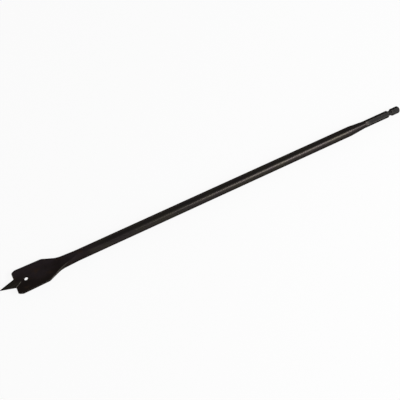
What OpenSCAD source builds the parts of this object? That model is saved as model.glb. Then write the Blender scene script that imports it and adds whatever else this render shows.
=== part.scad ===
// Spade drill bit, forged from one bar.
// The axis lies along X with the point toward -X, and the blade lies level. The shaft rests on Z = 0.

/* [Length and shaft] */
// Length from the tip of the point to the end of the shank
total_l = 406.4; // [330:0.1:460]
// Diameter of the round shaft
shaft_d = 9.525; // [8.5:0.005:11]

/* [Blade] */
// Width across the cutting lips
blade_w = 22.2; // [19:0.1:28]
// Thickness between the flat faces
blade_t = 2.6; // [2.2:0.1:3]
// Length of each side, from the lip to the shoulder
side_l = 26.9; // [24:0.1:32]
// How far each side draws in over that length, so that it doesn't rub in the hole
side_draw = 0.5; // [0.2:0.05:0.8]
// Length of the chamfer on each outer corner, along the side
corner_l = 2.7; // [1.5:0.1:3.5]
// Width of that chamfer, along the lip
corner_w = 1.2; // [0.8:0.1:2]
// Relief angle behind the cutting lips, in degrees
relief = 22; // [12:1:25]

/* [Point] */
// Length of the centre point, ahead of the lips
point_l = 13.3; // [11:0.1:15]
// Width of the point at its root
point_w = 7.6; // [6.5:0.1:8.5]
// Thickness left at the tip
tip_t = 0.9; // [0.6:0.1:1.2]
// Radius of the corner between the point and each lip
root_r = 0.7; // [0.4:0.1:1]

/* [Gullets] */
// Radius of the hollow ground into each face at the root of the point
gullet_r = 2.4; // [2:0.1:3]
// Distance from the lips back to the end of the hollow
gullet_back = 5.6; // [4.5:0.1:6.5]
// How far that end lies from the axis, on the side of the lip
gullet_side = 0.3; // [0.1:0.1:0.8]
// Angle of the hollow to the axis, seen on the face
gullet_turn = 20; // [16:1:26]
// Angle at which the hollow deepens toward the edge
gullet_dip = 5; // [4:0.5:7]

/* [Pull hole] */
// Diameter of the hole through the blade
hole_d = 3.2; // [2.5:0.1:4.5]
// Distance of the hole's centre behind the lips
hole_back = 9.8; // [8.5:0.1:12]
// Width of the broken edge round the hole
hole_break = 0.25; // [0.1:0.05:0.4]

/* [Shoulder and neck] */
// Slope of the shoulder to the axis, in degrees
shoulder_a = 23; // [21:1:27]
// Radius of the corner between the side and the shoulder
shoulder_r = 5; // [3:0.5:7]
// Slope of the neck behind the shoulder, in degrees
neck_a = 2.5; // [1.5:0.1:4]
// Radius of the hollow between the shoulder and the neck
neck_r = 20; // [14:1:24]
// Distance from the lips to the end of the neck
neck_back = 54.7; // [52:0.1:62]
// Distance from the lips to where the flat faces begin to rise
rise_back = 30.5; // [28:0.1:34]
// Radius of the hollow in which they begin to rise
rise_r = 42; // [30:1:60]
// Distance from the end of the neck to the crest, where they have risen clear of the round
rise_past = 6; // [4:0.1:14]

/* [Shank] */
// Width across the flats of the hexagon
hex_af = 6.35; // [6:0.01:7]
// Width across its rounded corners
hex_ac = 7; // [6.8:0.01:7.5]
// Length of the full hexagon, from the end of the cone
hex_l = 37.4; // [30:0.1:45]
// Length of the cone between the shaft and the hexagon
cone_l = 20; // [15:0.5:26]
// Diameter at the bottom of the ball-detent groove
groove_d = 4.6; // [4.2:0.1:5]
// Radius of the groove's profile
groove_r = 3; // [2.4:0.1:3.4]
// Distance of the groove's middle from the end
groove_back = 10.8; // [9:0.1:12]
// Chamfer on the end of the shank
end_c = 0.8; // [0.4:0.1:1]

/* [Hidden] */
$fn = 96;
// Overlap that lets a cut pass clear of a surface
past = 2;
// What a blending arc's radius has over a true tangent one, so that it meets its neighbours at an angle
blend = 0.02;
// How far the cone runs on inside the hexagon's flats, and the flat faces clear of the round
cone_in = 0.2;
rise_over = 0.12;
shaft_r = shaft_d / 2;
lip_r = blade_w / 2;
shoulder_x = point_l + side_l;
side_a = atan(side_draw / side_l);
neck_x = point_l + neck_back;
hex_x = total_l - hex_l;
cone_x = hex_x - cone_l;
cone_a = atan((shaft_r - hex_af / 2) / cone_l);
// The hexagon starts inside the cone, where the cone is wider than its corners
hex_start = hex_x - cone_l / 2;
rise_x = point_l + rise_back;
rise_l = neck_x + rise_past - rise_x;
rise_h = shaft_r + rise_over - blade_t / 2;
crest_r = (rise_l * rise_l + rise_h * rise_h) / (2 * rise_h) - rise_r;
// Length of the hollow, up to where the crest takes over
hollow_l = rise_l * rise_r / (rise_r + crest_r);

// On the half-outline a point is [radius, distance from the tip], and a slope falls toward the axis
function along(a) = [-sin(a), cos(a)];
function outward(a) = [cos(a), sin(a)];
function on_side(x) = lip_r - (x - point_l - corner_l) * tan(side_a);

shoulder_corner = [on_side(shoulder_x), shoulder_x];
neck_corner_x = (shoulder_corner[0] + shoulder_x * tan(shoulder_a) - shaft_r - neck_x * tan(neck_a))
    / (tan(shoulder_a) - tan(neck_a));
neck_corner = [shaft_r + (neck_x - neck_corner_x) * tan(neck_a), neck_corner_x];
shoulder_cut = shoulder_r * tan((shoulder_a - side_a) / 2);
shoulder_from = shoulder_corner - shoulder_cut * along(side_a);
shoulder_to = shoulder_corner + shoulder_cut * along(shoulder_a);
neck_cut = neck_r * tan((shoulder_a - neck_a) / 2);
neck_from = neck_corner - neck_cut * along(shoulder_a);
neck_to = neck_corner + neck_cut * along(neck_a);

// Lays a shape that was drawn up the Z axis along X, with its own X across the blade
module lay() {
    rotate([90, 0, 90])
        children();
}

// Makes the same cut on both halves, which are alike when turned half a turn about the axis
module both_halves() {
    for (turn = [0, 180])
        rotate([turn, 0, 0])
            children();
}

// Half-outline of the turned bar: blade sides, rounded shoulder, hollow neck, shaft and cone
module bar_outline() {
    difference() {
        union() {
            polygon([
                [0, 0],
                [on_side(0), 0],
                shoulder_from,
                shoulder_to,
                neck_from,
                neck_to,
                [shaft_r, neck_x],
                [shaft_r, cone_x],
                [hex_af / 2 - cone_in, hex_x + cone_in / tan(cone_a)],
                [0, hex_x + past]
            ]);
            intersection() {
                translate(shoulder_from - shoulder_r * outward(side_a))
                    circle(shoulder_r + blend);
                square([lip_r, total_l]);
            }
        }
        translate(neck_from + neck_r * outward(shoulder_a))
            circle(neck_r + blend);
    }
}

module bar() {
    lay()
        rotate_extrude()
            bar_outline();
}

// Hexagon with its corners rounded to a circle and its end chamfered
module hex_shank() {
    intersection() {
        translate([hex_start, 0, 0])
            lay()
                rotate([0, 0, 30])
                    cylinder(d = hex_af / cos(30), h = total_l - hex_start, $fn = 6);
        lay()
            rotate_extrude()
                polygon([
                    [0, hex_start],
                    [hex_ac / 2, hex_start],
                    [hex_ac / 2, total_l - end_c],
                    [hex_ac / 2 - end_c, total_l],
                    [0, total_l]
                ]);
    }
}

module detent_groove() {
    translate([total_l - groove_back, 0, 0])
        lay()
            rotate_extrude()
                translate([groove_d / 2 + groove_r, 0])
                    circle(groove_r);
}

// What lies above the flat face: level on the blade, falling to the tip, rising in an S to the round
module above_face_outline() {
    half_t = blade_t / 2;
    top = lip_r + past;
    difference() {
        union() {
            polygon([
                [-past, tip_t / 2 - past * (half_t - tip_t / 2) / point_l],
                [point_l, half_t],
                [rise_x, half_t],
                [rise_x, top],
                [-past, top]
            ]);
            intersection() {
                translate([rise_x, half_t + rise_r])
                    circle(rise_r + blend);
                translate([rise_x - past, 0])
                    square([hollow_l + 2 * past, top]);
            }
            translate([rise_x + hollow_l, half_t])
                square([rise_l - hollow_l, top - half_t]);
        }
        translate([rise_x + rise_l, half_t + rise_h - crest_r])
            circle(crest_r + blend);
    }
}

module above_face() {
    rotate([90, 0, 0])
        linear_extrude(height = blade_w + 2 * past, center = true)
            above_face_outline();
}

// What lies ahead of one lip and beside the point, drawn square to the relief from the lip's cutting edge
module ahead_of_lip_outline() {
    half_point = point_w / 2;
    tip = -point_l * cos(relief) - blade_t / 2 * sin(relief);
    edge_a = atan(half_point / -tip);
    root_cut = root_r * tan((90 - edge_a) / 2);
    beyond = 1 + past / corner_w;
    front = tip - past;
    polygon([
        [front, past * tan(edge_a)],
        [-root_cut * cos(edge_a), -half_point + root_cut * sin(edge_a)],
        [0, -half_point - root_cut],
        [0, corner_w - lip_r],
        [corner_l * cos(relief) * beyond, corner_w - lip_r - corner_w * beyond],
        [front, corner_w - lip_r - corner_w * beyond]
    ]);
    translate([-root_r, -half_point - root_cut])
        circle(root_r + blend);
}

module ahead_of_lip() {
    translate([point_l, 0, blade_t / 2])
        rotate([0, -relief, 0])
            linear_extrude(height = 2 * (blade_t + 2 * past), center = true)
                ahead_of_lip_outline();
}

// Round hollow that starts near the axis on the face and deepens toward the root of the point
module gullet() {
    translate([point_l + gullet_back, -gullet_side, blade_t / 2])
        rotate([0, 0, 180 + gullet_turn])
            rotate([0, gullet_dip, 0])
                translate([-past, 0, gullet_r])
                    rotate([0, 90, 0])
                        cylinder(r = gullet_r, h = past + point_l);
}

// Through hole with its edge broken on both faces
module pull_hole() {
    translate([point_l + hole_back, 0, 0]) {
        cylinder(d = hole_d, h = blade_t + 2 * past, center = true);
        for (side = [0, 1])
            mirror([0, 0, side])
                translate([0, 0, blade_t / 2 - hole_break])
                    cylinder(d1 = hole_d, d2 = hole_d + 2 * (hole_break + past), h = hole_break + past);
    }
}

// The bar with its end forged flat
module forged() {
    difference() {
        bar();
        both_halves()
            above_face();
    }
}

// The forging with its lips and point ground to shape, hollowed and drilled
module ground() {
    difference() {
        forged();
        both_halves()
            ahead_of_lip();
        both_halves()
            gullet();
        pull_hole();
    }
}

// The hexagon with its groove
module shank() {
    difference() {
        hex_shank();
        detent_groove();
    }
}

module spade_bit() {
    color([0.15, 0.14, 0.14])
        translate([-total_l / 2, 0, shaft_r]) {
            ground();
            shank();
        }
}

spade_bit();
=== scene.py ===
"""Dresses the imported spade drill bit: one forged bar of black-oxide steel on a white studio floor."""
import math

import bmesh
import bpy
import numpy as np
from mathutils import Matrix, Vector


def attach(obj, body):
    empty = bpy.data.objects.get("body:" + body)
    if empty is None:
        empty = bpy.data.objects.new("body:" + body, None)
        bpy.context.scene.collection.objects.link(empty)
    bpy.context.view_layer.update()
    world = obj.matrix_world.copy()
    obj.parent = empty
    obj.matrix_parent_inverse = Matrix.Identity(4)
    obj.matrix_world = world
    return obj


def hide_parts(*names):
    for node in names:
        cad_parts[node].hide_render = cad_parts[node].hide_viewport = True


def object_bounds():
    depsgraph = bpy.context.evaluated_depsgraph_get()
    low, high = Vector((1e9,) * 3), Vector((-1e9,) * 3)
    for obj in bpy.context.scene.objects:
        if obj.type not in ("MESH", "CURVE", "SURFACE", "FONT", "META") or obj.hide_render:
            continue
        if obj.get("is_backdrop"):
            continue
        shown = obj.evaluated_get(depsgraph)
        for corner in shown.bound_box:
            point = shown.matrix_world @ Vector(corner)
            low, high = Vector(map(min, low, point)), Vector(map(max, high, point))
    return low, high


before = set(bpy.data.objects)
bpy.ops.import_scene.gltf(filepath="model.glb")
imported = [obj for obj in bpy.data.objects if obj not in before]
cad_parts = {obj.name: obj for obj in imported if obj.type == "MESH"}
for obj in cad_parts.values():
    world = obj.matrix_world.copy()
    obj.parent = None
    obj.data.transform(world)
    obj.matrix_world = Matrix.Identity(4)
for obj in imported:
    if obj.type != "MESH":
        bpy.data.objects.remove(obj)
CAD_LOW, CAD_HIGH = (list(corner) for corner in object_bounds())

bl_info = {
    "name": "Spade Drill Bit",
    "version": (1, 0, 0),
    "blender": (4, 5, 0),
    "location": "View3D > Sidebar > Spade Bit",
    "description": "Builds a spade drill bit of black-oxide steel, and the studio it is shown in",
    "category": "Add Mesh",
}

NODE = "spade_bit"
BIT_NAME = "Forged_Bit"
MM = 0.001
# The same bar seen from its other face: half a turn about its own axis
HALF_TURN = np.array([1.0, -1.0, -1.0])
# Height given to a cut where it doesn't reach, in millimetres
FAR = 1e3

# Stations along the outline: the point's edge, the root's arc, the lip and the outer corner's chamfer
POINT_ROWS, ROOT_ROWS, LIP_ROWS, CORNER_ROWS = 50, 11, 18, 18
# Stations along the side: ahead of the hole's block, on it, behind it, and where the faces rise
AHEAD_ROWS, BLOCK_ROWS, BEHIND_ROWS, RISE_ROWS = 27, 22, 19, 56
# Rows of the rays round the hole, of its broken edge, of its wall, and of the shank's end
RAY_ROWS, BREAK_ROWS, BORE_ROWS, END_ROWS = 9, 4, 9, 8
# Powers that gather rows toward the root, the end of the faces, the hole and the brim of its broken edge
ROOT_GATHER, END_GATHER, HOLE_GATHER, BRIM_GATHER = 1.15, 1.6, 0.8, 1.4
# Columns of the upper face that run on into the point, and their share of the width behind the hole
MIDDLE_COLUMNS, MIDDLE_SHARE = 60, 0.42
# Steps of the rim in each edge's arc and in the wall between the arcs
ARC_STEPS, WALL_STEPS = 4, 48
# Half the length of the block of the face that is laid in rays round the hole, in millimetres
HOLE_BLOCK = 3.3
# Passes in which a sheared point settles on its surface
FACE_PASSES, RIM_PASSES = 5, 3

# Lengths behind the tip over which the relief's shear and the edge's radius come in, in millimetres
SHEAR_IN, EDGE_IN = 9, 3
# How far ahead of the hole's block the shear is gone, in millimetres
SHEAR_GONE = 0.1
# How far ahead of the end of the faces the forged edge has its full radius, in millimetres
RUN_OUT_FULL = 4
# Width over which two surfaces run into each other where they cross, in millimetres
GULLET_EASE, CONE_EASE, HEX_EASE, CORNER_EASE, GROOVE_EASE = 0.1, 0.02, 0.05, 0.04, 0.06

# How far the steel shows: on edges' arcs, fresh lips, the sheared shoulder, hexagon's corners and brims; on
# the arcs and the shoulder it is wear and also a painted highlight
ARC_WEAR_AND_GLINT, LIP_WEAR, SHOULDER_WEAR_AND_GLINT, HEX_WEAR, BRIM_WEAR = 0.5, 0.3, 0.5, 0.32, 0.4
# Distances from the end of the faces over which the worn steel and painted highlight of arcs and shoulder
# come in, in millimetres
ARC_FADE, SHOULDER_FADE = (6, 16), (10, 24)
# Half width of a rubbed brim and of the painted highlight on the gullet's back rim, and depths between which
# a gullet begins to look ground, in millimetres
BRIM, HOLLOW_DEPTH = 0.3, (0.01, 0.05)

# Points this near each other are one point, and edges this short are dropped, in metres
WELD_GAP, SHORT_EDGE = 1.2e-6, 1e-7
SHARP_ANGLE = math.radians(28)

# Where the forged end runs into the drawn bar, and the bar into the milled shank, along X in metres
FORGED_END, SHANK_START = (-0.130, -0.108), (0.161, 0.170)
# How far those borders wander in metres, and how strongly the forged end turns browner and darker toward its
# -Y edge, per metre
ZONE_WANDER, BROWN_LEAN = 0.03, 26.0
# Share of a place's colour that the heat's blotches, the grinding and the dark specks take at most
STAIN_COVER, GROUND_COVER, SPECK_COVER = 0.7, 0.85, 0.3
# Share of the wear that shows where it is most broken up
LEAST_RUB = 0.25
# Change of roughness with the oil's streaks and the drawing lines, their middle, and what rubbing takes off
STREAK_ROUGH, LINE_ROUGH, MIDDLE_ROUGH, RUB_ROUGH = 0.14, 0.08, 0.11, 0.08
BUMP_STRENGTH = 0.3

# Sines of the heights between which the surround falls from the horizon's light to that overhead
SKY_FALL = (0.10, 0.66)
# Place and size of each lamp, the point that both face, and half the side of the floor, in metres
KEY_PLACE, KEY_SIZE = (0.60, -0.57, 0.82), (0.76, 0.22)
SKIRT_PLACE, SKIRT_SIZE = (0.60, -0.86, 0.52), (0.76, 0.34)
LAMP_AIM = (0.18, 0, 0)
FLOOR_HALF = 4.0


class BitSizes(bpy.types.PropertyGroup):
    """Sizes of the bit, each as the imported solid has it."""

    total_length: bpy.props.FloatProperty(
        name="Length", description="From the tip of the point to the end of the shank",
        default=CAD_HIGH[0] - CAD_LOW[0], unit="LENGTH", precision=5)
    shaft_diameter: bpy.props.FloatProperty(
        name="Shaft", description="Diameter of the round shaft",
        default=CAD_HIGH[2] - CAD_LOW[2], unit="LENGTH", precision=5)
    blade_width: bpy.props.FloatProperty(
        name="Blade width", description="Width across the cutting lips",
        default=0.0222, unit="LENGTH", precision=5)
    blade_thickness: bpy.props.FloatProperty(
        name="Blade thickness", description="Thickness between the flat faces",
        default=0.0026, unit="LENGTH", precision=5)
    point_length: bpy.props.FloatProperty(
        name="Point length", description="Length of the centre point, ahead of the lips",
        default=0.0133, unit="LENGTH", precision=5)
    point_width: bpy.props.FloatProperty(
        name="Point width", description="Width of the point at its root",
        default=0.0076, unit="LENGTH", precision=5)
    relief: bpy.props.FloatProperty(
        name="Relief", description="Relief angle behind the cutting lips",
        default=math.radians(22), subtype="ANGLE")
    hole_diameter: bpy.props.FloatProperty(
        name="Pull hole", description="Diameter of the hole through the blade",
        default=0.0032, unit="LENGTH", precision=5)
    edge_round: bpy.props.FloatProperty(
        name="Edge", description="Radius left on the blade's edges by the oxide tumbling",
        default=0.00013, unit="LENGTH", precision=5)
    run_out_round: bpy.props.FloatProperty(
        name="Run-out edge", description="Radius of the forged edge where the faces run out on the round",
        default=0.0012, unit="LENGTH", precision=5)


class BitFinish(bpy.types.PropertyGroup):
    """Colours and roughness of the steel's finish."""

    oxide: bpy.props.FloatVectorProperty(
        name="Oxide", description="Black oxide on the forged faces",
        default=(0.0363, 0.0273, 0.0298), subtype="COLOR", min=0, max=1)
    oil: bpy.props.FloatVectorProperty(
        name="Oil", description="Brown of the dried oil on the forged faces",
        default=(0.0224, 0.0166, 0.0147), subtype="COLOR", min=0, max=1)
    stain: bpy.props.FloatVectorProperty(
        name="Stain", description="Blotches that the heat has left on the forged faces",
        default=(0.0510, 0.0309, 0.0204), subtype="COLOR", min=0, max=1)
    drawn: bpy.props.FloatVectorProperty(
        name="Drawn bar", description="Purple-black oxide on the drawn shaft",
        default=(0.0316, 0.0265, 0.0258), subtype="COLOR", min=0, max=1)
    drawn_oil: bpy.props.FloatVectorProperty(
        name="Oiled bar", description="Olive of the dried oil on the shaft",
        default=(0.0352, 0.0314, 0.0252), subtype="COLOR", min=0, max=1)
    shank: bpy.props.FloatVectorProperty(
        name="Shank", description="Thin grey oxide on the milled shank",
        default=(0.0285, 0.0278, 0.0276), subtype="COLOR", min=0, max=1)
    ground: bpy.props.FloatVectorProperty(
        name="Ground", description="Oxide on the ground lips, point and gullets",
        default=(0.0330, 0.0291, 0.0226), subtype="COLOR", min=0, max=1)
    speck: bpy.props.FloatVectorProperty(
        name="Speck", description="Specks in which the oxide is thickest and nearly black",
        default=(0.0150, 0.0138, 0.0144), subtype="COLOR", min=0, max=1)
    # Worn steel, also painted as a highlight on the shoulder and the gullet's back rim
    steel: bpy.props.FloatVectorProperty(
        name="Worn steel", description="Steel that shows on edges where the oxide is rubbed",
        default=(0.2112, 0.1920, 0.1656), subtype="COLOR", min=0, max=1)
    forged_roughness: bpy.props.FloatProperty(
        name="Forged roughness", description="Roughness of the forged faces", default=0.76, min=0, max=1)
    drawn_roughness: bpy.props.FloatProperty(
        name="Drawn roughness", description="Roughness of the shaft", default=0.32, min=0, max=1)
    shank_roughness: bpy.props.FloatProperty(
        name="Shank roughness", description="Roughness of the milled shank", default=0.66, min=0, max=1)
    edge_tint: bpy.props.FloatVectorProperty(
        name="Edge tint", description="What is left of a reflection at a grazing angle, under the oil",
        default=(0.32, 0.30, 0.285), subtype="COLOR", min=0, max=1)
    relief_depth: bpy.props.FloatProperty(
        name="Texture depth", description="Depth of the grain and of the drawing and grinding lines",
        default=0.00003, unit="LENGTH", precision=6)


class StudioSettings(bpy.types.PropertyGroup):
    """Camera and light of the studio."""

    azimuth: bpy.props.FloatProperty(
        name="Azimuth", description="Camera's turn round the bit",
        default=math.radians(-27.803), subtype="ANGLE")
    elevation: bpy.props.FloatProperty(
        name="Elevation", description="Camera's height above the floor",
        default=math.radians(59.927), subtype="ANGLE")
    distance: bpy.props.FloatProperty(
        name="Distance", description="From the camera to the point it looks at",
        default=0.53585, unit="LENGTH")
    lens: bpy.props.FloatProperty(
        name="Lens", description="Focal length", default=53.43, unit="CAMERA")
    aim_right: bpy.props.FloatProperty(
        name="Aim right", description="How far right of the bit's middle the camera looks",
        default=-0.014698, unit="LENGTH", precision=5)
    aim_up: bpy.props.FloatProperty(
        name="Aim up", description="How far above the bit's middle the camera looks",
        default=-0.007162, unit="LENGTH", precision=5)
    roll: bpy.props.FloatProperty(
        name="Roll", description="How far the camera is then turned about the bit's axis",
        default=math.radians(-1.893), subtype="ANGLE")
    horizon: bpy.props.FloatProperty(
        name="Horizon", description="Light of the surround near the floor", default=1.0)
    overhead: bpy.props.FloatProperty(
        name="Overhead", description="Light of the surround overhead", default=0.34)
    key: bpy.props.FloatProperty(
        name="Key", description="Power of the lamp beside the camera", default=8.8, unit="POWER")
    skirt: bpy.props.FloatProperty(
        name="Skirt", description="Power of the dim lamp below it", default=1.2, unit="POWER")
    floor: bpy.props.FloatVectorProperty(
        name="Floor", description="Colour of the floor and backdrop", default=(0.80, 0.80, 0.80),
        subtype="COLOR", min=0, max=1)
    floor_lift: bpy.props.FloatProperty(
        name="Floor lift", description="Share by which the floor is lifted to white, short of the shadow",
        default=0.90, min=0, max=1)


class Outline:
    """Named numbers of the bit in millimetres, with X from the tip of the point and Z from the axis."""

    def __init__(self, sizes):
        self.total = sizes.total_length / MM
        self.shaft_r = sizes.shaft_diameter / MM / 2
        self.lip_r = sizes.blade_width / MM / 2
        self.half_t = sizes.blade_thickness / MM / 2
        self.lip_x = sizes.point_length / MM
        self.half_point = sizes.point_width / MM / 2
        self.slant = math.tan(sizes.relief)
        self.hole_r = sizes.hole_diameter / MM / 2
        self.edge = sizes.edge_round / MM
        self.run_out_edge = sizes.run_out_round / MM
        # Point and lips
        self.half_tip = 0.45
        self.root_r = 0.7
        self.corner_l, self.corner_w = 2.7, 1.2
        self.tip_u = -self.half_t * self.slant
        self.point_slope = self.half_point / (self.lip_x - self.tip_u)
        self.point_a = math.atan(self.point_slope)
        self.root_turn = math.pi / 2 - self.point_a
        root_cut = self.root_r * math.tan(self.root_turn / 2)
        self.root_from = self.lip_x - root_cut * math.cos(self.point_a)
        self.root_y = self.half_point + root_cut
        # Turned sides, shoulder and neck
        side_l, side_draw, neck_back = 26.9, 0.5, 54.7
        shoulder_a, neck_a = math.radians(23), math.radians(2.5)
        self.side_a = math.atan(side_draw / side_l)
        self.shoulder_r, self.neck_r = 5.0, 20.0
        self.neck_x = self.lip_x + neck_back
        shoulder_x = self.lip_x + side_l
        corner = np.array([shoulder_x, self.side(shoulder_x)])
        drop = corner[1] + shoulder_x * math.tan(shoulder_a) - self.shaft_r - self.neck_x * math.tan(neck_a)
        bend_x = drop / (math.tan(shoulder_a) - math.tan(neck_a))
        bend = np.array([bend_x, self.shaft_r + (self.neck_x - bend_x) * math.tan(neck_a)])
        cut = self.shoulder_r * math.tan((shoulder_a - self.side_a) / 2)
        hollow_cut = self.neck_r * math.tan((shoulder_a - neck_a) / 2)
        self.shoulder_from = corner - cut * self.heading(self.side_a)
        self.shoulder_to = corner + cut * self.heading(shoulder_a)
        self.neck_from = bend - hollow_cut * self.heading(shoulder_a)
        self.neck_to = bend + hollow_cut * self.heading(neck_a)
        self.shoulder_c = self.shoulder_from - self.shoulder_r * self.outward(self.side_a)
        self.neck_c = self.neck_from + self.neck_r * self.outward(shoulder_a)
        # Flat faces that rise in an S, to a crest just clear of the round
        rise_back, rise_past, rise_over = 30.5, 6.0, 0.12
        self.rise_x, self.rise_r = self.lip_x + rise_back, 42.0
        self.crest_x, self.crest_z = self.neck_x + rise_past, self.shaft_r + rise_over
        rise_l, rise_h = self.crest_x - self.rise_x, self.crest_z - self.half_t
        self.crest_r = (rise_l ** 2 + rise_h ** 2) / (2 * rise_h) - self.rise_r
        self.hollow_to = self.rise_x + rise_l * self.rise_r / (self.rise_r + self.crest_r)
        # Cone and shank
        hex_l, cone_l, groove_back = 37.4, 20.0, 10.8
        self.hex_r, self.hex_corner = 6.35 / 2, 3.5
        self.hex_x = self.total - hex_l
        self.cone_x = self.hex_x - cone_l
        self.groove_x, self.groove_r, self.groove_bottom = self.total - groove_back, 3.0, 2.3
        groove_c = self.groove_bottom + self.groove_r
        self.groove_rim = math.sqrt(self.groove_r ** 2 - (groove_c - self.hex_r) ** 2)
        self.end_c = 0.8
        # Gullet: where its lowest line starts on the face, its heading and its dip
        gullet_back, gullet_side = 5.6, 0.3
        self.gullet_from = np.array([self.lip_x + gullet_back, -gullet_side])
        self.gullet_turn, self.gullet_dip, self.gullet_r = math.radians(200), math.radians(5), 2.4
        # Pull hole
        hole_back = 9.8
        self.hole_x = self.lip_x + hole_back
        self.hole_break = 0.25
        self.block_from, self.block_to = self.hole_x - HOLE_BLOCK, self.hole_x + HOLE_BLOCK
        self.face_end = self.meeting()

    @staticmethod
    def heading(a):
        """Unit step along a line that falls toward the axis by the angle a."""
        return np.array([math.cos(a), -math.sin(a)])

    @staticmethod
    def outward(a):
        """Unit step square to that line, away from the axis."""
        return np.array([math.sin(a), math.cos(a)])

    def side(self, x):
        """Radius of the drawn-in side, a straight line that falls by the side's angle."""
        return self.lip_r - (x - self.lip_x - self.corner_l) * math.tan(self.side_a)

    def turned(self, x):
        """Radius of the bar at x, up to the shaft: lines, an arc over the shoulder, one under the neck."""
        x = np.asarray(x, float)
        over = self.shoulder_c[1] + arc_height(self.shoulder_r, x - self.shoulder_c[0])
        under = self.neck_c[1] - arc_height(self.neck_r, x - self.neck_c[0])
        slope = np.interp(x, *zip(self.shoulder_to, self.neck_from))
        neck = np.interp(x, [self.neck_to[0], self.neck_x], [self.neck_to[1], self.shaft_r])
        return np.select(
            [x < self.shoulder_from[0], x < self.shoulder_to[0], x < self.neck_from[0], x < self.neck_to[0],
             x < self.neck_x],
            [self.side(x), over, slope, under, neck], self.shaft_r)

    def face(self, x):
        """Half height of the flat faces at x: rising from the tip, level, a hollow arc and a crest arc."""
        x = np.asarray(x, float)
        point = np.interp(x, [0, self.lip_x], [self.half_tip, self.half_t])
        hollow = self.half_t + self.rise_r - arc_height(self.rise_r, x - self.rise_x)
        crest = self.crest_z - self.crest_r + arc_height(self.crest_r, self.crest_x - x)
        return np.select([x < self.lip_x, x < self.rise_x, x < self.hollow_to],
                         [point, self.half_t, hollow], crest)

    def meeting(self):
        """Where the rising face reaches the top of the round, found by halving."""
        low, high = self.hollow_to, self.crest_x
        for _ in range(60):
            middle = (low + high) / 2
            if self.face(middle) < self.turned(middle):
                low = middle
            else:
                high = middle
        return low

    def point_half(self, u):
        """Half width of the point at the sheared distance u, a straight line to zero at the tip."""
        return self.point_slope * (u - self.tip_u)

    def in_gullet(self, x, y):
        """Distances along the gullet's lowest line and across it, the latter rising toward its back rim."""
        dx, dy = x - self.gullet_from[0], y - self.gullet_from[1]
        along = dx * math.cos(self.gullet_turn) + dy * math.sin(self.gullet_turn)
        across = dy * math.cos(self.gullet_turn) - dx * math.sin(self.gullet_turn)
        return along, across

    def gullet(self, x, y):
        """Height of the gullet's floor: a cylinder that heads off at an angle and dips, far up beside it."""
        along, across = self.in_gullet(x, y)
        rise = self.gullet_r - arc_height(self.gullet_r, across)
        floor = self.half_t - along * math.tan(self.gullet_dip) + rise / math.cos(self.gullet_dip)
        return np.where(np.abs(across) < self.gullet_r, floor, FAR)

    def gullet_rim(self, x, y):
        """Nearness of a point of the face to the gullet's back rim: a bell across it, none in shallows.
        Steel is painted there, as wear and as a painted highlight along the rim.
        """
        along, across = self.in_gullet(x, y)
        depth = np.clip(along * math.tan(self.gullet_dip), 0, self.gullet_r)
        rim = arc_height(self.gullet_r, self.gullet_r - depth)
        return bell(across - rim) * ease(depth, 0, GULLET_EASE)

    def top(self, x, y):
        """Height of the upper face at (x, y): the lower of face and gullet, eased where they cross."""
        return soft_min(self.face(x), self.gullet(x, y), GULLET_EASE)


def arc_height(radius, off):
    """Height of a circle at that distance off its middle: sqrt(radius^2 - off^2), and 0 beyond it."""
    return np.sqrt(np.maximum(radius ** 2 - off ** 2, 0))


def bell(off):
    """How rubbed a brim is at that distance off it: exp(-(off / width)^2)."""
    return np.exp(-(off / BRIM) ** 2)


def soft_min(a, b, width):
    """The lower of a and b, with a parabola of that width where they cross."""
    share = np.clip(0.5 + 0.5 * (b - a) / width, 0, 1)
    return b + (a - b) * share - width * share * (1 - share)


def ease(x, low, high):
    """Smooth step from 0 at low to 1 at high: 3 t^2 - 2 t^3."""
    t = np.clip((np.asarray(x, float) - low) / (high - low), 0, 1)
    return t * t * (3 - 2 * t)


class Patches:
    """Collects grids of points that are later welded along their shared edges."""

    def __init__(self):
        self.points, self.quads, self.ground, self.wear, self.count = [], [], [], [], 0

    def add(self, grid, ground=0.0, wear=0.0):
        """A grid of points [rows, columns, 3] becomes quads, ground and worn by those shares; on some edges
        the worn steel is a painted highlight.
        """
        rows, columns = grid.shape[:2]
        index = np.arange(rows * columns).reshape(rows, columns) + self.count
        self.points.append(grid.reshape(-1, 3))
        self.ground.append(np.broadcast_to(np.asarray(ground, float), grid.shape[:2]).reshape(-1))
        self.wear.append(np.broadcast_to(np.asarray(wear, float), grid.shape[:2]).reshape(-1))
        self.quads.append(np.stack(
            [index[:-1, :-1], index[:-1, 1:], index[1:, 1:], index[1:, :-1]], axis=-1).reshape(-1, 4))
        self.count += rows * columns

    def add_both(self, grid, ground=0.0, wear=0.0):
        """A grid and its copy turned half a turn about the axis."""
        self.add(grid, ground, wear)
        self.add(grid * HALF_TURN, ground, wear)


def stations(u, y, normal_u, normal_y):
    """Rows (u, y, normal u, normal y) along the outline, from columns or single values."""
    return np.stack(np.broadcast_arrays(u, y, normal_u, normal_y), 1)


def mitre(a, b):
    """Offset that keeps the same distance from two edges with unit normals a and b."""
    return (a + b) / (1 + a @ b)


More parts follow.
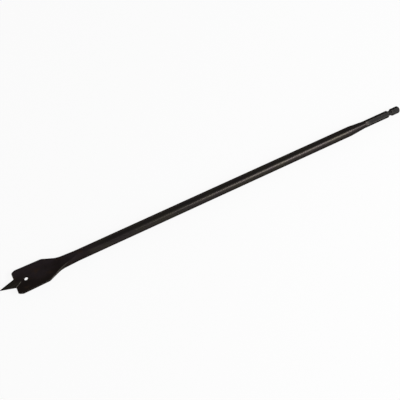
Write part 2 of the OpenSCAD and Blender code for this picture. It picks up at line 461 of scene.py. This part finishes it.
def path_rows(form):
    """Stations along the outline of one half, from the tip to the end of the faces.

    They are the point's edge, the root's arc, the lip, the outer corner's chamfer and the side. The point's
    and the side's y are left to the point's slope and to the turned bar, and the side needs no normal."""
    share = np.linspace(0, 1, POINT_ROWS)
    point_u = form.root_from * (1 - (1 - share) ** ROOT_GATHER)
    point = stations(point_u, 0.0, -math.sin(form.point_a), math.cos(form.point_a))
    turn = np.linspace(form.root_turn, 0, ROOT_ROWS + 1)[1:]
    root = stations(form.lip_x - form.root_r + form.root_r * np.cos(turn),
                    form.root_y - form.root_r * np.sin(turn), -np.cos(turn), np.sin(turn))
    lip_y = np.linspace(form.root_y, form.lip_r - form.corner_w, LIP_ROWS + 1)[1:]
    lip = stations(form.lip_x, lip_y, -1.0, 0.0)
    corner_n = np.array([-form.corner_w, form.corner_l]) / math.hypot(form.corner_w, form.corner_l)
    lip[-1, 2:] = mitre(np.array([-1.0, 0.0]), corner_n)
    share = np.linspace(0, 1, CORNER_ROWS + 2)[1:-1]
    corner = stations(form.lip_x + form.corner_l * share,
                      form.lip_r - form.corner_w + form.corner_w * share, *corner_n)
    side_u = np.concatenate([
        np.linspace(form.lip_x + form.corner_l, form.block_from, AHEAD_ROWS + 1)[:-1],
        np.linspace(form.block_from, form.block_to, BLOCK_ROWS + 1)[:-1],
        np.linspace(form.block_to, form.rise_x, BEHIND_ROWS + 1)[:-1],
        form.face_end - (form.face_end - form.rise_x) * np.linspace(1, 0, RISE_ROWS) ** END_GATHER])
    return np.concatenate([point, root, lip, corner, stations(side_u, 0.0, 0.0, 0.0)])


def across_rim(arc, wall):
    """A row of values through the thickness: an edge arc's, one for the wall, and the arc's reversed."""
    return np.concatenate([arc, np.full(WALL_STEPS - 1, wall), arc[::-1]])


class Blade:
    """The forged end, as an upper face over (u, across) and a rim over (outline, thickness).

    Every point is sheared by the relief, x = u + (half thickness -+ z) tan(relief), so that a lip lies
    square to one row. Behind the lips the shear eases out and the section is the turned circle cut off at
    the face's height, with an arc of the edge's radius between them."""

    def __init__(self, form):
        self.form = form
        self.path = path_rows(form)
        self.u, self.y = self.path[:, 0], self.path[:, 1]
        self.lip_at = POINT_ROWS + ROOT_ROWS
        self.corner_at = self.lip_at + LIP_ROWS
        row = np.arange(len(self.u))
        self.is_point = row < POINT_ROWS
        self.is_side = row >= self.corner_at + CORNER_ROWS
        square = ease(self.u, form.lip_x + form.corner_l, form.block_from - SHEAR_GONE)
        self.shear = form.slant * ease(self.u, 0, SHEAR_IN) * (1 - square)
        forged = ease(self.u, form.rise_x, form.face_end - RUN_OUT_FULL)
        self.edge = form.edge * ease(self.u, 0, EDGE_IN) + (form.run_out_edge - form.edge) * forged
        self.wall = np.linspace(0, 1, WALL_STEPS + 1)[1:-1]

    def half_width(self, rows, x, z):
        """Half width of the flat part of the upper face, where the edge's arc begins."""
        form, e = self.form, self.edge[rows, None]
        inset = e * self.path[rows, 3, None]
        on_point = form.point_half(x - form.slant * (form.half_t - z)) - inset
        on_side = arc_height(form.turned(x) - e, form.face(x) - e)
        behind = np.where(self.is_side[rows, None], on_side, self.y[rows, None] - inset)
        return np.where(self.is_point[rows, None], on_point, behind)

    def face_rows(self, rows, outer):
        """Points of the upper face on these rows; outer adds the columns behind the left and right lips."""
        form, give = self.form, self.shear[rows, None]
        start = (self.u[rows] - self.edge[rows] * self.path[rows, 2])[:, None]
        height = form.face(self.u[rows])[:, None]
        left = self.half_width(rows, start + give * (form.half_t - height), height)
        right = self.half_width(rows, start + give * (form.half_t + height), -height)
        across = np.linspace(-1, 1, MIDDLE_COLUMNS + 1)
        lean = ease(across, -1, 1)
        if outer:
            share = np.linspace(1, 0, LIP_ROWS + 1)[:-1]
            narrow = MIDDLE_SHARE * left
            middle = form.root_y + (narrow - form.root_y) * ease(start, form.block_to, form.rise_x)
            middle = np.minimum(form.root_y, middle)
            middle = np.where(start > form.rise_x, np.minimum(middle, narrow), middle)
            y = np.concatenate([-(middle + (left - middle) * share), middle * across,
                                middle + (right - middle) * share[::-1]], axis=1)
            lean = np.concatenate([np.zeros(LIP_ROWS), lean, np.ones(LIP_ROWS)])
        else:
            y = -left + (left + right) * (across + 1) / 2
        z = np.broadcast_to(height, y.shape)
        for _ in range(FACE_PASSES):
            x = start + give * (form.half_t + z * (2 * lean - 1))
            z = form.top(x, y)
        return np.stack([x, y, z], axis=-1)

    def faces(self):
        """Upper faces of the point and of the blade.

        The blade's first row runs through the lips' own stations, and its middle is the point's last row."""
        form = self.form
        point = self.face_rows(np.arange(self.lip_at), False)
        blade_rows = np.concatenate([[self.lip_at - 1], np.arange(self.corner_at, len(self.u))])
        blade = self.face_rows(blade_rows, True)
        lip = self.path[self.lip_at:self.corner_at]
        lip_x, lip_y = lip[:, 0] - lip[:, 2] * form.edge, lip[:, 1] - lip[:, 3] * form.edge
        lip_z = form.top(lip_x, -lip_y)
        left = np.stack([lip_x + form.slant * (form.half_t - lip_z), -lip_y, lip_z], 1)
        right = np.stack([lip_x + 2 * form.half_t * form.slant, lip_y, np.full(LIP_ROWS, form.half_t)], 1)
        blade[0] = np.concatenate([left[::-1], point[-1], right])
        return point, blade

    def flat_rim(self, top_edge, low_edge):
        """Rim of the point, lip and corner: edge arc, wall sheared by the relief, edge arc."""
        form, e = self.form, self.edge[:, None]
        bend = np.linspace(np.pi / 2, 0, ARC_STEPS + 1)
        top_z, low_z = top_edge[:, 2:], -low_edge[:, 2:]
        z = np.concatenate([top_z - e + e * np.sin(bend), (top_z - e) + self.wall * (2 * e - top_z - low_z),
                            -(low_z - e + e * np.sin(bend[::-1]))], axis=1)
        inset = across_rim(1 - np.cos(bend), 0.0) * e
        x = self.u[:, None] - inset * self.path[:, 2:3] + self.shear[:, None] * (form.half_t - z)
        on_point = form.point_half(x - form.slant * (form.half_t - z))
        y = np.where(self.is_point[:, None], on_point, self.y[:, None])
        return np.stack([x, inset * self.path[:, 3:4] - y, z], axis=-1)

    def round_rim(self):
        """Rim of the turned side, by angle: arc from the face, turned circle, arc to the other face."""
        form, e, u = self.form, self.edge[:, None], self.u[:, None]
        steps, ends = np.linspace(0, 1, ARC_STEPS + 1), np.ones(ARC_STEPS + 1)
        arc, on_wall = across_rim(steps, 1.0), across_rim(-ends, 1.0) > 0
        around = np.concatenate([ends, 1 - 2 * self.wall, -ends])
        x = np.repeat(u, len(around), axis=1)
        for _ in range(RIM_PASSES):
            r, h = form.turned(x), form.face(x)
            run = arc_height(r - e, h - e)
            reach = np.arctan2(h - e, run)
            angle = np.pi / 2 + (reach - np.pi / 2) * arc
            lift = np.sign(around) * (h - e + e * np.sin(angle))
            y = np.where(on_wall, r * np.cos(reach * around), run + e * np.cos(angle))
            z = np.where(on_wall, r * np.sin(reach * around), lift)
            x = u + self.shear[:, None] * (form.half_t - z)
        return np.stack([x, -y, z], axis=-1)

    def rim(self, top_edge, low_edge):
        """Rim through the thickness, between the edges of the upper and the lower face."""
        rim = np.where(self.is_side[:, None, None], self.round_rim(), self.flat_rim(top_edge, low_edge))
        rim[:, 0], rim[:, -1] = top_edge, low_edge
        return rim

    def rim_wear(self):
        """Share of worn steel on the rim: most along its two arcs, less on the fresh lips and sheared
        shoulder. On the arcs and the shoulder it is also a painted highlight, where these edges catch the
        light.
        """
        form = self.form
        to_end = form.face_end - self.u
        arcs = across_rim(np.sin(np.pi * np.linspace(0, 1, ARC_STEPS + 1)), 0.0)
        rubbed = ARC_WEAR_AND_GLINT * arcs * ease(to_end, *ARC_FADE)[:, None]
        sheared = ease(self.u, form.shoulder_from[0], form.rise_x) * ease(to_end, *SHOULDER_FADE)
        fresh = np.where(self.is_side | self.is_point, SHOULDER_WEAR_AND_GLINT * sheared, LIP_WEAR)[:, None]
        return np.maximum(rubbed, fresh)


def build_blade(form, patches):
    """Faces, rim and pull hole of the forged end. Returns the row of points where the round begins."""
    blade = Blade(form)
    point_face, blade_face = blade.faces()
    first = blade_face[0]
    # Upper edge of the rim, in the outline's order, and the lower one from the other half
    top_edge = np.concatenate([point_face[:, 0], first[:LIP_ROWS][::-1], blade_face[1:, 0]])
    low_edge = np.concatenate([point_face[:, -1], first[-LIP_ROWS:], blade_face[1:, -1]]) * HALF_TURN
    rim = blade.rim(top_edge, low_edge)
    # Worn steel along the rim's arcs and sheared shoulder, which is also a painted highlight where the
    # shoulder catches the light
    patches.add_both(rim, np.where(blade.is_side, 0.0, 1.0)[:, None], blade.rim_wear())
    # Steel along the gullet's back rim: wear, and a painted highlight where the rim catches the light
    patches.add_both(point_face, 1.0, form.gullet_rim(point_face[..., 0], point_face[..., 1]))

    # Upper face of the blade, with a block of its quads left out for the pull hole
    r0 = 1 + CORNER_ROWS + AHEAD_ROWS
    r1 = r0 + BLOCK_ROWS
    c0, c1 = LIP_ROWS, LIP_ROWS + MIDDLE_COLUMNS
    hollowed = ease(form.face(blade_face[..., 0]) - blade_face[..., 2], *HOLLOW_DEPTH)
    # Steel along the gullet's back rim, as wear and as a painted highlight
    wear = form.gullet_rim(blade_face[..., 0], blade_face[..., 1])
    for part in (np.s_[:r0 + 1, :], np.s_[r1:, :], np.s_[r0:r1 + 1, :c0 + 1], np.s_[r0:r1 + 1, c1:]):
        patches.add_both(blade_face[part], hollowed[part], wear[part])
    block = blade_face[r0:r1 + 1, c0:c1 + 1]
    ring = np.concatenate([block[0, :-1], block[:-1, -1], block[-1, :0:-1], block[:0:-1, 0]])
    build_hole(form, patches, ring)
    return rim[-1, ARC_STEPS:-ARC_STEPS]


def build_hole(form, patches, ring):
    """Face round the pull hole and the hole's wall.

    The face runs from the closed ring of points in straight rays, by shares that shorten toward the hole,
    and rolls over into the cone of the broken edge. The cone's last circle goes through as the wall."""
    angle = np.arctan2(ring[:, 1], ring[:, 0] - form.hole_x)
    circle = np.stack([np.cos(angle), np.sin(angle)], 1)

    def hoop(radius, z):
        """Ring of points round the hole, one on each ray."""
        return np.concatenate([[form.hole_x, 0] + radius * circle, np.full((len(circle), 1), z)], axis=1)

    # The face begins to roll this far outside the brim, and the brim and the cone lie this far below it
    roll, dip, drop = 0.04, 0.012, 0.01
    brim_r = form.hole_r + form.hole_break
    share = np.linspace(0, 1, RAY_ROWS)[:, None, None] ** HOLE_GATHER
    rays = ring + (hoop(brim_r + roll, form.half_t) - ring) * share
    cone = [hoop(form.hole_r + (form.hole_break + dip) * (1 - t), form.half_t - drop - form.hole_break * t)
            for t in np.linspace(0, 1, BREAK_ROWS)[1:] ** BRIM_GATHER]
    face = np.concatenate([rays, [hoop(brim_r, form.half_t - dip)], cone])
    closed = np.concatenate([face, face[:, :1]], axis=1)
    patches.add_both(closed)
    wall = np.repeat(closed[-1:], BORE_ROWS, axis=0)
    wall[..., 2] *= np.linspace(1, -1, BORE_ROWS)[:, None]
    patches.add(wall)


def build_shaft(form, patches, start):
    """Half of the round shaft, cone, hexagon and groove, as a radius over (x, angle), used twice.

    The radius is the larger of the cone and the hexagon with rounded corners, and the smaller of that, the
    groove's circle and the end chamfer, each crossing eased."""
    angle = np.linspace(np.pi / 2, -np.pi / 2, len(start))
    # Where each stretch of rows starts, and how many it has with both its ends
    groove_half, chamfer_x = form.groove_r + 0.2, form.total - form.end_c
    stretches = (
        (form.face_end, 48), (form.cone_x - 1, 9), (form.cone_x + 1, 18),
        (form.hex_x - 6, 50), (form.hex_x + 1, 20),
        (form.groove_x - groove_half, 64), (form.groove_x + groove_half, 12),
        (chamfer_x - 0.4, 16), (form.total, 0))
    rows = [np.linspace(low, high, count)[1:]
            for (low, count), (high, _) in zip(stretches[:-1], stretches[1:])]
    x = np.concatenate([[form.face_end], *rows])[:, None]
    # Three quarters of the columns go to the hexagon's flats, and the rest to its rounded corners
    step = np.pi / 3
    flat_half = math.acos(form.hex_r / form.hex_corner)
    hex_from = form.hex_x - 8
    turn = (angle + np.pi / 2) % step - step / 2
    gathered = np.interp(turn, np.array([-1, -0.75, 0.75, 1]) * step / 2,
                         np.array([-step / 2, -flat_half, flat_half, step / 2]))
    angle = angle + (gathered - turn) * ease(x, form.cone_x, hex_from)
    off = (angle + np.pi / 2) % step - step / 2
    hexagon = soft_min(form.hex_r / np.cos(off), form.hex_corner, CORNER_EASE)
    taper = form.shaft_r + (x - form.cone_x) / (form.hex_x - form.cone_x) * (form.hex_r - form.shaft_r)
    cone = soft_min(np.where(x < form.cone_x, form.shaft_r, taper), form.shaft_r, CONE_EASE)
    radius = np.where(x < hex_from, cone, -soft_min(-cone, -hexagon, HEX_EASE))
    bow = form.groove_bottom + form.groove_r - arc_height(form.groove_r, x - form.groove_x)
    groove = np.where(np.abs(x - form.groove_x) < form.groove_r, bow, FAR)
    radius = soft_min(radius, groove, GROOVE_EASE)
    radius = soft_min(radius, form.hex_corner - (x - chamfer_x), GROOVE_EASE)
    y, z = -radius * np.cos(angle), radius * np.sin(angle)
    grid = np.stack([np.broadcast_to(x, radius.shape), y, z], axis=-1)
    grid[0] = start
    # Rubbed at the ends of the flats, at both brims of the groove and at the chamfer
    corner = ease(np.abs(off), 0.94 * flat_half, 1.04 * flat_half) * ease(x, form.hex_x - 5, form.hex_x)
    brim = bell(np.abs(x - form.groove_x) - form.groove_rim) + bell(x - chamfer_x)
    patches.add_both(grid, 0.0, np.clip(HEX_WEAR * corner + BRIM_WEAR * brim, 0, 1))
    # End of the shank, closed to a point on the axis
    shrink = np.linspace(1, 0, END_ROWS)[:, None, None]
    patches.add_both(grid[-1] * np.concatenate([np.ones_like(shrink), shrink, shrink], axis=-1))


def weld(name, patches, form):
    """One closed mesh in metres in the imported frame, its doubles merged and its faces turned outward."""
    points = np.concatenate(patches.points)
    points = (points + [-form.total / 2, 0, form.shaft_r]) * MM
    quads = np.concatenate(patches.quads)
    mesh = bpy.data.meshes.new(name)
    mesh.vertices.add(len(points))
    mesh.vertices.foreach_set("co", points.astype(np.float32).ravel())
    mesh.loops.add(quads.size)
    mesh.loops.foreach_set("vertex_index", quads.astype(np.int32).ravel())
    mesh.polygons.add(len(quads))
    mesh.polygons.foreach_set("loop_start", np.arange(0, quads.size, 4, dtype=np.int32))
    mesh.update(calc_edges=True)
    for layer, values in (("ground", patches.ground), ("wear", patches.wear)):
        attribute = mesh.attributes.new(layer, "FLOAT", "POINT")
        attribute.data.foreach_set("value", np.concatenate(values).astype(np.float32))
    work = bmesh.new()
    work.from_mesh(mesh)
    bmesh.ops.remove_doubles(work, verts=work.verts, dist=WELD_GAP)
    bmesh.ops.dissolve_degenerate(work, edges=work.edges, dist=SHORT_EDGE)
    bmesh.ops.recalc_face_normals(work, faces=work.faces)
    work.to_mesh(mesh)
    work.free()
    edge_of_loop = np.empty(len(mesh.loops), np.int32)
    mesh.loops.foreach_get("edge_index", edge_of_loop)
    if (np.bincount(edge_of_loop, minlength=len(mesh.edges)) != 2).any():
        raise RuntimeError("The welded bit isn't closed")
    mesh.validate()
    mesh.shade_smooth()
    mesh.set_sharp_from_angle(angle=SHARP_ANGLE)
    return mesh


class Graph:
    """Short way to add nodes to one node tree and to join them."""

    def __init__(self, tree):
        self.nodes, self.links = tree.nodes, tree.links
        self.nodes.clear()

    def add(self, kind, settings=(), **inputs):
        """A node of that kind, with its settings, and a value or another node's socket for each input."""
        node = self.nodes.new("ShaderNode" + kind)
        for name, value in dict(settings).items():
            setattr(node, name, value)
        for name, value in inputs.items():
            self.feed(node.inputs[name.replace("_", " ")], value)
        return node

    def feed(self, socket, value):
        """Links another node's socket, or sets a value."""
        if isinstance(value, bpy.types.NodeSocket):
            self.links.new(value, socket)
        else:
            socket.default_value = value

    def math(self, operation, *values):
        """Result of that operation on values or sockets."""
        node = self.nodes.new("ShaderNodeMath")
        node.operation = operation
        for socket, value in zip(node.inputs, values):
            self.feed(socket, value)
        return node.outputs[0]

    def ramp(self, value, low, high, start=0.0, end=1.0):
        """Smooth step from start, where the value is low, to end, where it is high."""
        node = self.add("MapRange", {"interpolation_type": "SMOOTHSTEP"}, Value=value,
                        From_Min=low, From_Max=high, To_Min=start, To_Max=end)
        return node.outputs["Result"]

    def blend(self, factor, a, b):
        """Colour between a and b."""
        node = self.add("Mix", {"data_type": "RGBA"}, Factor=factor, A=a, B=b)
        return node.outputs["Result"]

    def noise(self, vector, stretch, detail, shift=(0, 0, 0)):
        """Noise that has stretch features per metre along X, Y and Z, moved by shift of them."""
        scaled = self.nodes.new("ShaderNodeVectorMath")
        scaled.operation = "MULTIPLY_ADD"
        for socket, value in zip(scaled.inputs, (vector, stretch, shift)):
            self.feed(socket, value)
        node = self.add("TexNoise", Vector=scaled.outputs[0], Scale=1.0, Detail=detail, Roughness=0.58)
        return node.outputs["Fac"]


def black_oxide(finish):
    """Black oxide on steel in three zones along the bar, which run into each other along an uneven border.

    It is a dark metal: base colour is what it reflects, and the edge tint keeps a grazing view from turning
    white. The forged end is purple-black, with brown oil in patches and browner and darker toward its -Y
    edge, blotches of heat and a fine grain.
    The shaft has lengthwise drawing lines under streaks of oil. The shank is a thinner grey. Where the
    attribute ground is set there are crosswise grinding lines, and where wear is set steel shows in broken
    patches: worn steel on edges, and on the gullet's back rim and the blade's shoulder also a painted
    highlight."""
    material = bpy.data.materials.new("black_oxide")
    material.use_nodes = True
    g = Graph(material.node_tree)
    place = g.add("TexCoord").outputs["Object"]
    axes = g.add("SeparateXYZ", Vector=place)
    cloud = g.noise(place, (48, 80, 80), 4)
    blotch = g.noise(place, (110, 150, 150), 5, (0.6, 0, 0))
    streak = g.noise(place, (26, 420, 420), 3)
    drawing = g.noise(place, (90, 9000, 9000), 2)
    grinding = g.noise(place, (9000, 260, 2600), 2)
    grain = g.noise(place, (2400, 2400, 2400), 4)
    rub = g.noise(place, (700, 900, 900), 3)
    mottle = g.noise(place, (420, 560, 560), 5)

    # Zones along the bar, with a border that wanders by some millimetres
    wander = g.math("MULTIPLY", g.math("SUBTRACT", cloud, 0.5), ZONE_WANDER)
    along = g.math("ADD", axes.outputs["X"], wander)
    forged = g.ramp(along, *FORGED_END, 1.0, 0.0)
    shank = g.ramp(along, *SHANK_START)
    ground = g.add("Attribute", {"attribute_name": "ground"}).outputs["Fac"]
    wear = g.add("Attribute", {"attribute_name": "wear"}).outputs["Fac"]

    # Colour
    # Browner and darker toward the -Y edge of the forged end, and in cloudy patches
    lean = g.math("MULTIPLY", axes.outputs["Y"], BROWN_LEAN)
    oil = g.ramp(g.math("SUBTRACT", cloud, lean), 0.34, 0.72)
    forged_colour = g.blend(oil, (*finish.oxide, 1), (*finish.oil, 1))
    forged_colour = g.blend(g.ramp(blotch, 0.52, 0.68, 0.0, STAIN_COVER), forged_colour, (*finish.stain, 1))
    film = g.math("MULTIPLY_ADD", cloud, 0.6, g.math("MULTIPLY", streak, 0.4))
    drawn_colour = g.blend(g.ramp(film, 0.42, 0.58), (*finish.drawn, 1), (*finish.drawn_oil, 1))
    bar_colour = g.blend(shank, drawn_colour, (*finish.shank, 1))
    colour = g.blend(forged, bar_colour, forged_colour)
    colour = g.blend(g.math("MULTIPLY", ground, GROUND_COVER), colour, (*finish.ground, 1))
    colour = g.blend(g.ramp(mottle, 0.3, 0.7, 0.0, SPECK_COVER), colour, (*finish.speck, 1))
    # Steel in broken patches: wear on edges, and a painted highlight on the shoulder and the gullet's back
    # rim
    worn_and_glint = g.math("MULTIPLY", wear, g.ramp(rub, 0.36, 0.58, LEAST_RUB, 1.0))
    colour = g.blend(worn_and_glint, colour, (*finish.steel, 1))

    # Roughness by zone, uneven with the oil and the lines
    drawn = finish.drawn_roughness
    rough = g.math("MULTIPLY_ADD", shank, finish.shank_roughness - drawn, drawn)
    rough = g.math("MULTIPLY_ADD", forged, finish.forged_roughness - drawn, rough)
    uneven = g.math("MULTIPLY_ADD", drawing, LINE_ROUGH, g.math("MULTIPLY", streak, STREAK_ROUGH))
    rough = g.math("ADD", rough, g.math("SUBTRACT", uneven, MIDDLE_ROUGH))
    rough = g.math("SUBTRACT", rough, g.math("MULTIPLY", worn_and_glint, RUB_ROUGH))

    # Height of the grain on the forging, the grinding lines, and the drawing lines on the rest
    texture = g.blend(forged, drawing, grain)
    texture = g.blend(ground, texture, grinding)
    bump = g.add("Bump", Strength=BUMP_STRENGTH, Distance=finish.relief_depth, Height=texture)
    shader = g.add("BsdfPrincipled", Base_Color=colour, Metallic=1.0, Roughness=rough,
                   Specular_Tint=(*finish.edge_tint, 1), Normal=bump.outputs["Normal"])
    g.add("OutputMaterial", Surface=shader.outputs["BSDF"])
    return material


class SPADEBIT_OT_forge(bpy.types.Operator):
    """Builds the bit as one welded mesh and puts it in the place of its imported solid"""

    bl_idname = "spadebit.forge"
    bl_label = "Forge the bit"
    bl_options = {"REGISTER", "UNDO"}

    def execute(self, context):
        scene = context.scene
        form = Outline(scene.bit_sizes)
        patches = Patches()
        ring = build_blade(form, patches)
        build_shaft(form, patches, ring)
        mesh = weld(BIT_NAME, patches, form)
        bit = bpy.data.objects.new(BIT_NAME, mesh)
        scene.collection.objects.link(bit)
        mesh.materials.append(black_oxide(scene.bit_finish))
        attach(bit, "root")
        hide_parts(NODE)
        return {"FINISHED"}


def area_lamp(scene, name, place, target, size, power):
    """A soft rectangular lamp at place that faces target."""
    data = bpy.data.lights.new(name, "AREA")
    data.shape = "RECTANGLE"
    data.size, data.size_y = size
    data.energy = power
    lamp = bpy.data.objects.new(name, data)
    scene.collection.objects.link(lamp)
    lamp.location = place
    lamp.rotation_euler = (Vector(target) - Vector(place)).to_track_quat("-Z", "Y").to_euler()


def white_floor(colour, lift):
    """Pale floor: matt, and lifted to white by that share where seen straight, in gloss or in glass."""
    material = bpy.data.materials.new("studio_floor")
    material.use_nodes = True
    g = Graph(material.node_tree)
    matt = g.add("BsdfDiffuse", Color=(*colour, 1))
    glow = g.add("Emission", Color=(1, 1, 1, 1))
    path = g.add("LightPath")
    seen = g.math("MAXIMUM", path.outputs["Is Camera Ray"], path.outputs["Is Glossy Ray"])
    seen = g.math("MAXIMUM", seen, path.outputs["Is Transmission Ray"])
    both = g.nodes.new("ShaderNodeMixShader")
    g.feed(both.inputs[0], g.math("MULTIPLY", seen, lift))
    g.feed(both.inputs[1], matt.outputs["BSDF"])
    g.feed(both.inputs[2], glow.outputs["Emission"])
    g.add("OutputMaterial", Surface=both.outputs["Shader"])
    return material


class SPADEBIT_OT_stage(bpy.types.Operator):
    """Builds the white floor, the soft lamps and the camera"""

    bl_idname = "spadebit.stage"
    bl_label = "Set the stage"
    bl_options = {"REGISTER", "UNDO"}

    def execute(self, context):
        scene = context.scene
        studio = scene.bit_studio
        scene.view_settings.view_transform = "Standard"

        half = FLOOR_HALF
        corners = [(-half, -half, 0), (half, -half, 0), (half, half, 0), (-half, half, 0)]
        mesh = bpy.data.meshes.new("Studio_Floor")
        mesh.from_pydata(corners, [], [(0, 1, 2, 3)])
        floor = bpy.data.objects.new("Studio_Floor", mesh)
        scene.collection.objects.link(floor)
        mesh.materials.append(white_floor(studio.floor, studio.floor_lift))
        floor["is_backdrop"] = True

        world = bpy.data.worlds.new("Studio_World")
        world.use_nodes = True
        scene.world = world
        g = Graph(world.node_tree)
        height = g.add("SeparateXYZ", Vector=g.add("TexCoord").outputs["Generated"]).outputs["Z"]
        level = g.ramp(height, *SKY_FALL, studio.horizon, studio.overhead)
        sky = g.add("Background", Color=(1, 1, 1, 1), Strength=level)
        g.add("OutputWorld", Surface=sky.outputs["Background"])

        area_lamp(scene, "Key_Lamp", KEY_PLACE, LAMP_AIM, KEY_SIZE, studio.key)
        area_lamp(scene, "Skirt_Lamp", SKIRT_PLACE, LAMP_AIM, SKIRT_SIZE, studio.skirt)

        turn, rise = studio.azimuth, studio.elevation
        back = Vector((math.sin(turn) * math.cos(rise), -math.cos(turn) * math.cos(rise), math.sin(rise)))
        right = Vector((math.cos(turn), math.sin(turn), 0))
        about_axis = Matrix.Rotation(studio.roll, 3, "X")
        right, back = about_axis @ right, about_axis @ back
        up = back.cross(right)
        axis = Vector((0, 0, scene.bit_sizes.shaft_diameter / 2))
        place = axis + right * studio.aim_right + up * studio.aim_up + back * studio.distance
        data = bpy.data.cameras.new("Photo_Camera")
        data.lens = studio.lens
        data.sensor_width = 36
        data.clip_start, data.clip_end = 0.01, 50
        camera = bpy.data.objects.new("Photo_Camera", data)
        scene.collection.objects.link(camera)
        camera.matrix_world = Matrix((
            (right.x, up.x, back.x, place.x),
            (right.y, up.y, back.y, place.y),
            (right.z, up.z, back.z, place.z),
            (0, 0, 0, 1)))
        scene.camera = camera
        return {"FINISHED"}


class SPADEBIT_PT_panel(bpy.types.Panel):
    """Sidebar panel with the bit's sizes, finish and studio"""

    bl_idname = "SPADEBIT_PT_panel"
    bl_label = "Spade Bit"
    bl_space_type = "VIEW_3D"
    bl_region_type = "UI"
    bl_category = "Spade Bit"

    def draw(self, context):
        layout = self.layout
        scene = context.scene
        for group, operator in ((scene.bit_sizes, None), (scene.bit_finish, SPADEBIT_OT_forge.bl_idname),
                                (scene.bit_studio, SPADEBIT_OT_stage.bl_idname)):
            column = layout.column(align=True)
            for name in group.__annotations__:
                column.prop(group, name)
            if operator:
                layout.operator(operator)


CLASSES = (BitSizes, BitFinish, StudioSettings, SPADEBIT_OT_forge, SPADEBIT_OT_stage, SPADEBIT_PT_panel)


def register():
    """Adds the classes, and their settings to the scene."""
    for cls in CLASSES:
        bpy.utils.register_class(cls)
    bpy.types.Scene.bit_sizes = bpy.props.PointerProperty(type=BitSizes)
    bpy.types.Scene.bit_finish = bpy.props.PointerProperty(type=BitFinish)
    bpy.types.Scene.bit_studio = bpy.props.PointerProperty(type=StudioSettings)


def unregister():
    """Takes the settings and the classes away again."""
    del bpy.types.Scene.bit_studio
    del bpy.types.Scene.bit_finish
    del bpy.types.Scene.bit_sizes
    for cls in reversed(CLASSES):
        bpy.utils.unregister_class(cls)


def main():
    """Builds the bit and its stage."""
    register()
    bpy.ops.spadebit.forge()
    bpy.ops.spadebit.stage()


if __name__ == "__main__":
    main()
